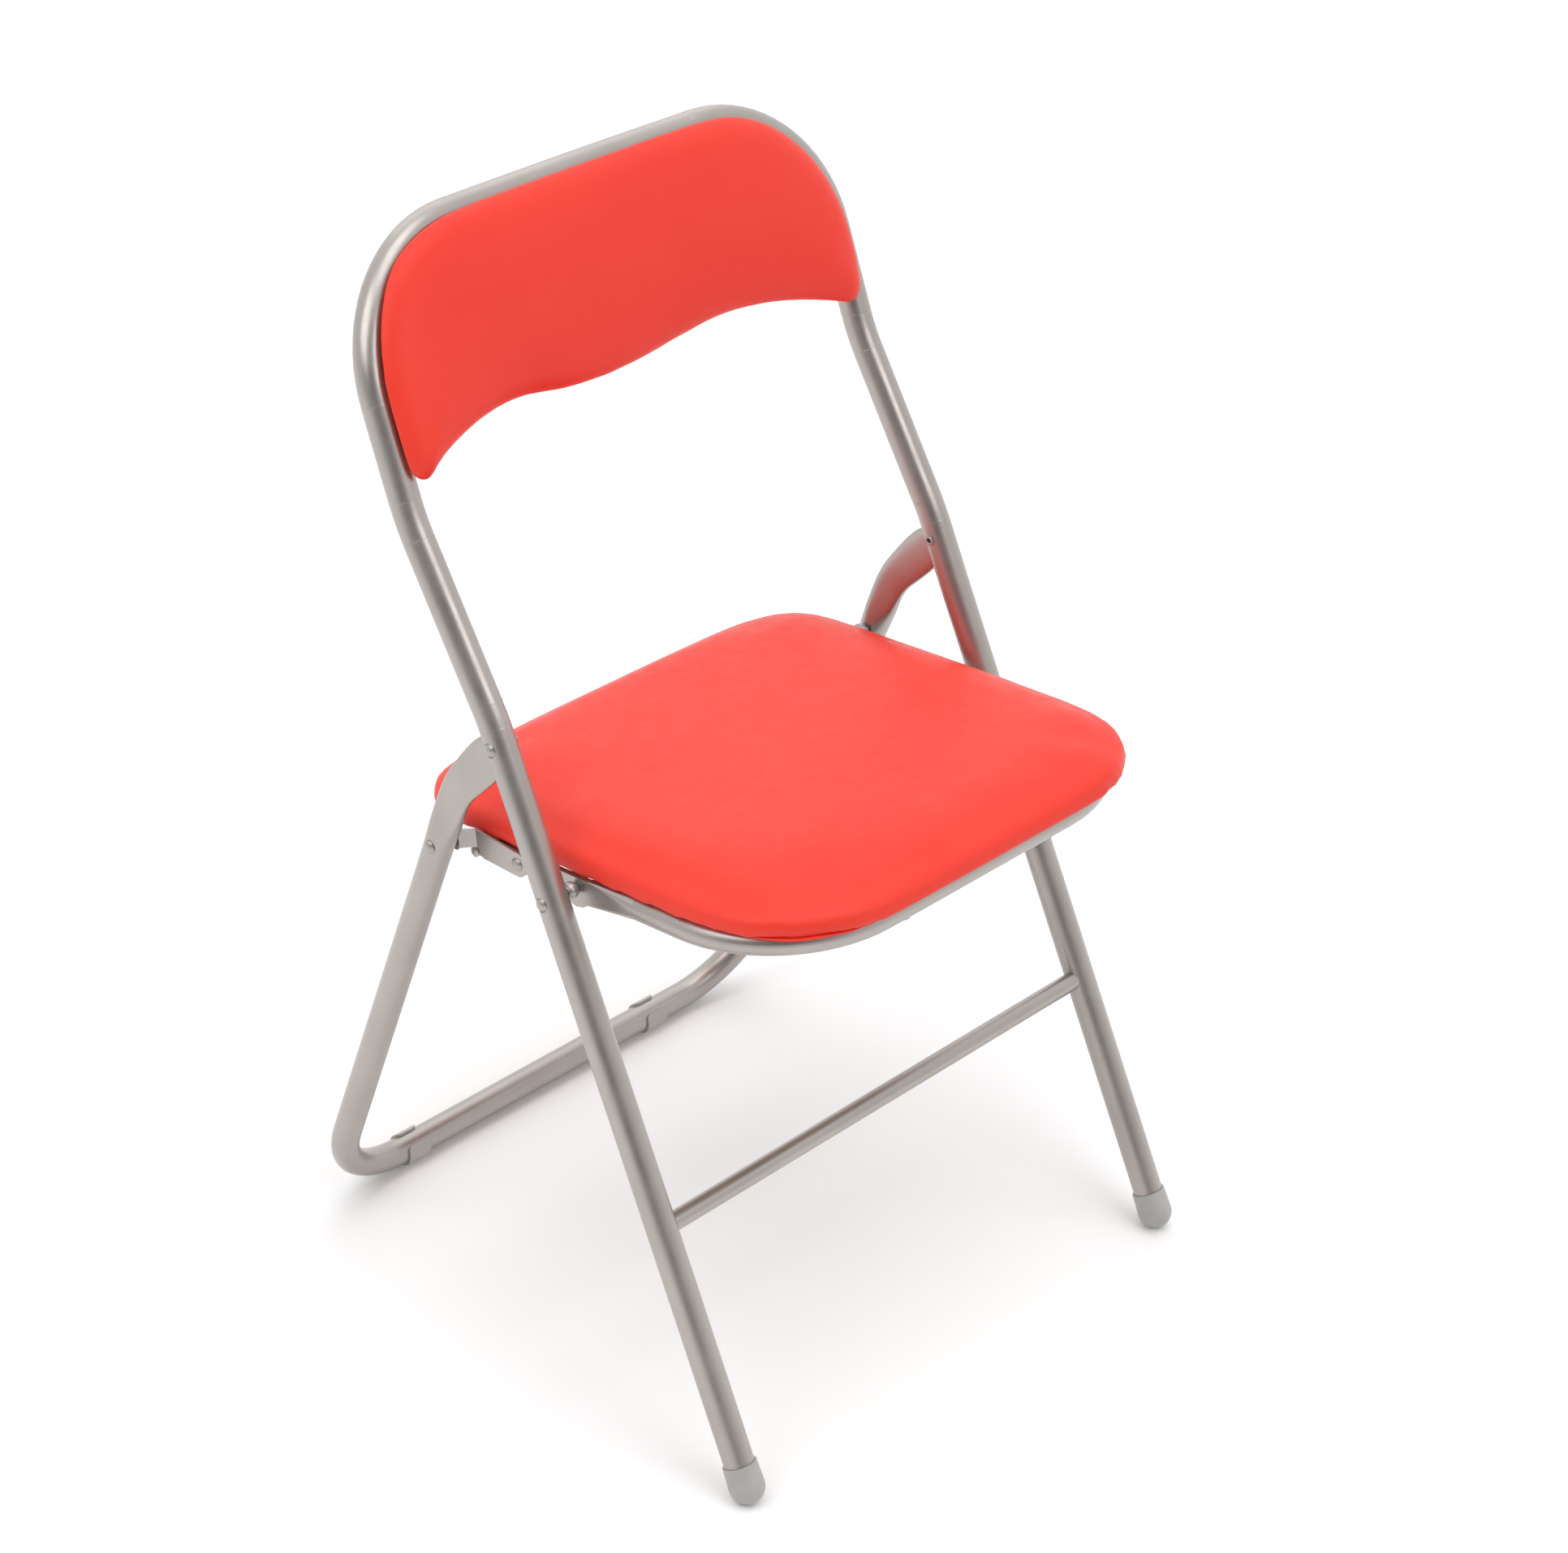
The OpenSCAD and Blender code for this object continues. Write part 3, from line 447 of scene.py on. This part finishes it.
# depth of the front and back faces by distance from the edge: a thin rounded edge and a full middle
FRONT = [(-1, 4.0), (0, 5.2), (0.8, 7.0), (2.2, 8.8), (4.5, 10.8), (8, 12.8), (13, 14.8), (21, 16.8),
         (34, 18.6), (52, 19.6)]
REAR_FACE = [(-1, 3.4), (0, 2.6), (1.5, 1.4), (4, 0.7), (9, 0.5)]
SLAB = 20


def bend(c):
    """Takes flat pad points on to the bowed back, in the row frame."""
    x, z, d = c[:, 0], c[:, 1], c[:, 2]
    a = x / (BOW_R * MM)
    r = BOW_R * MM - d
    q = np.stack([r * np.sin(a), (BOW - PAD_BACK - BOW_R) * MM + r * np.cos(a), z], axis=1)
    return q @ HOOP_ARR[:3, :3].T + HOOP_ARR[:3, 3]


back_pad = loft("back_pad", [[Vector((x * MM, z * MM, d * MM)) for x, z in BACK_LOOP]
                             for d in range(0, SLAB + 1, 5)], VINYL)
apply_modifier(back_pad, "REMESH", mode="VOXEL", voxel_size=0.0035, use_smooth_shade=True)
c = coords(back_pad)
depth = distance_inside(c[:, :2] / MM, BACK_LOOP)
front, rear = profile(depth, FRONT), profile(depth, REAR_FACE)
c[:, 2] = (rear + (front - rear) * np.clip(c[:, 2] / MM / SLAB, 0, 1)) * MM
set_coords(back_pad, c)
apply_modifier(back_pad, "SMOOTH", factor=0.5, iterations=5)
# the back face is held
inflate(back_pad, np.clip(1 - (coords(back_pad)[:, 2] / MM - 4) / 7, 0, 1), even=40)
apply_modifier(back_pad, "SMOOTH", factor=0.5, iterations=3)
apply_modifier(back_pad, "SUBSURF", levels=1, render_levels=1)
set_coords(back_pad, bend(coords(back_pad)))
face_outward(back_pad.data)
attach(back_pad, "front")
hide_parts("back_cover", "back_foam")

# ---- rear frame: the round tube, squashed smoothly into its two flat arms ----
REAR_LEAN, ARM_LEAN = math.radians(17.7), math.radians(38)
REAR_IN = math.radians(0.57)                      # each leg leans in towards the other
REAR_AT, LEG_PIVOT = np.array((219.3, 12.1)), np.array((42.780, 486.993))
SHARP_X, REAR_R, CORNER_R, BEND_R = 221.5, 10.5, 72.0, 80.0
ARM_T, TIP_R, HOLE_R = 6.6, 8.9, 3.1
FLAT_FROM, FLAT_OVER = 128, 56                    # where the squash starts, from the pivot, and its length
# half the arm's width by distance from the pivot
ARM_HALF = [(-100, TIP_R), (4, TIP_R), (6, 10.2), (8, 11.6), (10, 12.8), (12, 13.8), (15, 14.6), (20, 15.2),
            (30, 15.4), (42, 14.8), (58, 13.6), (72, 12.9), (95, 12.2), (116, 11.0), (128, REAR_R)]
REAR = side_frame(REAR_AT, -REAR_LEAN)
to_pivot = LEG_PIVOT - REAR_AT
ELBOW = (to_pivot[0] + math.tan(ARM_LEAN) * to_pivot[1]) / (
    math.tan(ARM_LEAN) * math.cos(REAR_LEAN) - math.sin(REAR_LEAN))
ARM_LEN = float(np.linalg.norm(to_pivot - ELBOW * np.array((-math.sin(REAR_LEAN), math.cos(REAR_LEAN)))))
TURN = ARM_LEAN - REAR_LEAN
BEND_CUT = BEND_R * math.tan(TURN / 2)


def arm_at(a):
    """Forward and up distances and the lean of the arm's middle line, by distance a from the pivot."""
    into_bend = a - (ARM_LEN - BEND_CUT)
    turn = TURN - max(into_bend, 0) / BEND_R
    if into_bend <= 0:
        return (ARM_LEN - a) * math.sin(TURN), ELBOW + (ARM_LEN - a) * math.cos(TURN), TURN
    if turn > 0:
        return BEND_R * (1 - math.cos(turn)), ELBOW - BEND_CUT + BEND_R * math.sin(turn), turn
    return 0.0, ELBOW - BEND_CUT + turn * BEND_R, 0.0


def tube_ring(centre, across, wide, thin_half, wide_half, n=2.0):
    """A section from a round tube (n = 2) to a flat bar with rounded edges."""
    ring = []
    for t in np.linspace(0, 2 * math.pi, 40, endpoint=False):
        c, s = math.cos(t), math.sin(t)
        ring.append(centre + thin_half * math.copysign(abs(c) ** (2 / n), c) * across
                    + wide_half * math.copysign(abs(s) ** (2 / n), s) * wide)
    return ring


def arm_ring(a):
    """The section at a distance from the pivot; a negative one is in the rounded tip."""
    forward, up, lean = arm_at(max(a, 0))
    forward += max(-a, 0) * math.sin(lean)
    up += max(-a, 0) * math.cos(lean)
    flat = float(np.clip((FLAT_FROM - a) / FLAT_OVER, 0, 1))
    flat = flat * flat * (3 - 2 * flat)
    half = profile(a, ARM_HALF) if a >= 0 else math.sqrt(max(TIP_R ** 2 - a * a, 0))
    centre = np.array((SHARP_X - up * math.sin(REAR_IN), -forward, up * math.cos(REAR_IN)))
    across = np.array((math.cos(REAR_IN), 0, math.sin(REAR_IN)))
    wide = np.array((0, math.cos(lean), math.sin(lean)))
    return tube_ring(centre, across, wide, REAR_R + (ARM_T / 2 - REAR_R) * flat, half, 2 + 2.2 * flat)


def rear_side_rings():
    """Rings of the right half, from the middle of the floor tube to the arm's rounded tip."""
    back = np.array((0.0, 1.0, 0.0))
    straight = SHARP_X - CORNER_R * math.tan((math.pi / 2 + REAR_IN) / 2)
    rings = [tube_ring(np.array((x, 0, 0)), np.array((0, 0, -1.0)), back, REAR_R, REAR_R)
             for x in np.linspace(0, straight, 10)]
    for a in np.linspace(-math.pi / 2, REAR_IN, 22)[1:]:
        out = np.array((math.cos(a), 0, math.sin(a)))
        middle = np.array((straight, 0, CORNER_R)) + CORNER_R * out
        rings.append(tube_ring(middle, out, back, REAR_R, REAR_R))
    stations = list(np.linspace(430, 120, 12)) + list(np.arange(117, -TIP_R, -1.5)) + [-8.3, -8.75]
    return rings + [arm_ring(a) for a in stations]


right_rings = rear_side_rings()
left_rings = [[p * np.array((-1, 1, 1)) for p in r] for r in right_rings[:0:-1]]
rear_tube = loft("rear_tube", [[REAR @ Vector(p * MM) for p in r] for r in left_rings + right_rings], PAINT)
for side in (-1, 1):    # holes for the leg pivots
    circle = [(LEG_PIVOT[0] + HOLE_R * math.cos(t), LEG_PIVOT[1] + HOLE_R * math.sin(t))
              for t in np.linspace(0, 2 * math.pi, 32, endpoint=False)]
    drill = loft("drill", [[Vector((side * x * MM, y * MM, z * MM)) for y, z in circle] for x in (200, 233)],
                 PAINT)
    apply_modifier(rear_tube, "BOOLEAN", operation="DIFFERENCE", object=drill, solver="EXACT")
    bpy.data.objects.remove(drill)
rear_tube.data.set_sharp_from_angle(angle=math.radians(40))
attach(rear_tube, "rear")
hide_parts("rear_frame")

# ---- studio: the world's light is brighter from one side ----
world = bpy.data.worlds.new("studio")
bpy.context.scene.world = world
world.use_nodes = True
nodes, links = world.node_tree.nodes, world.node_tree.links
way = nodes.new("ShaderNodeTexCoord").outputs["Generated"]
dot = nodes.new("ShaderNodeVectorMath")
dot.operation = "DOT_PRODUCT"
dot.inputs[1].default_value = (-0.76, -0.64, 0.08)
links.new(way, dot.inputs[0])
span = nodes.new("ShaderNodeMapRange")
span.inputs["From Min"].default_value, span.inputs["From Max"].default_value = -1, 1
links.new(dot.outputs["Value"], span.inputs["Value"])
tone = nodes.new("ShaderNodeValToRGB")
links.new(span.outputs["Result"], tone.inputs["Fac"])
stops = tone.color_ramp.elements
stops[0].position, stops[0].color = 0.15, (1.0, 1.0, 1.0, 1)
stops[1].position, stops[1].color = 0.985, (0.10, 0.10, 0.10, 1)
for position, value in ((0.5, 0.86), (0.78, 0.60), (0.92, 0.30)):
    stops.new(position).color = (value, value, value, 1)
# the camera itself sees plain white; only reflections and light see the darker side
seen = nodes.new("ShaderNodeMix")
seen.data_type = "RGBA"
links.new(nodes.new("ShaderNodeLightPath").outputs["Is Camera Ray"], seen.inputs[0])
links.new(tone.outputs["Color"], seen.inputs[6])
seen.inputs[7].default_value = (1, 1, 1, 1)
links.new(seen.outputs[2], nodes["Background"].inputs["Color"])
nodes["Background"].inputs["Strength"].default_value = 1.05

HALF = 6.0
floor_mesh = bpy.data.meshes.new("floor")
floor_mesh.from_pydata([(-HALF, -HALF, 0), (HALF, -HALF, 0), (HALF, HALF, 0), (-HALF, HALF, 0)],
                       [], [(0, 1, 2, 3)])
floor = add_object("floor", floor_mesh)
pale = Mat("floor")
pale.set(Roughness=0.9, Specular_IOR_Level=0.1, Emission_Color=(1, 1, 1, 1), Emission_Strength=0.05)
pale.ramp("Base Color", pale.noise(2), (0.3, 0.88), (0.7, 0.89))
floor_mesh.materials.append(pale.material)


def area(name, at, towards, size, watts):
    """A soft lamp, with its place, aim and size in metres, that the camera doesn't see."""
    light = bpy.data.lights.new(name, "AREA")
    light.shape = "RECTANGLE"
    light.size, light.size_y = size
    light.energy = watts
    o = add_object(name, light)
    o.location = at
    o.rotation_mode = "QUATERNION"
    o.rotation_quaternion = (Vector(towards) - Vector(at)).to_track_quat("-Z", "Y")
    o.visible_camera = False


area("front", (0.05, -1.65, 1.75), (0, 0, 0.6), (1.1, 0.55), 6)
area("left", (-1.6, 0.15, 2.1), (0, 0, 0.65), (1.6, 1.4), 15)
area("back", (0.9, 1.5, 1.9), (0, 0, 0.3), (1.8, 1.4), 4)
sun = bpy.data.lights.new("sun", "SUN")
sun.energy, sun.angle = 0.8, math.radians(45)
add_object("sun", sun).rotation_euler = (math.radians(6), math.radians(3), 0)

# ---- camera, at the photograph's place ----
YAW, PITCH, ROLL = math.radians(47.97), math.radians(-32.48), math.radians(3.48)
cam_data = bpy.data.cameras.new("camera")
cam = add_object("camera", cam_data)
ahead = Vector((math.sin(YAW) * math.cos(PITCH), math.cos(YAW) * math.cos(PITCH), math.sin(PITCH)))
level = Vector((math.cos(YAW), -math.sin(YAW), 0))
above = level.cross(ahead)
right = level * math.cos(ROLL) + above * math.sin(ROLL)
upward = -level * math.sin(ROLL) + above * math.cos(ROLL)
pose = Matrix((right, upward, -ahead)).transposed().to_4x4()
pose.translation = Vector((-1.7125, -1.5578, 1.8656))
cam.matrix_world = pose
cam_data.sensor_width = 36
cam_data.lens = 89.9
cam_data.clip_end = 50
bpy.context.scene.camera = cam
bpy.context.scene.view_settings.view_transform = "Standard"
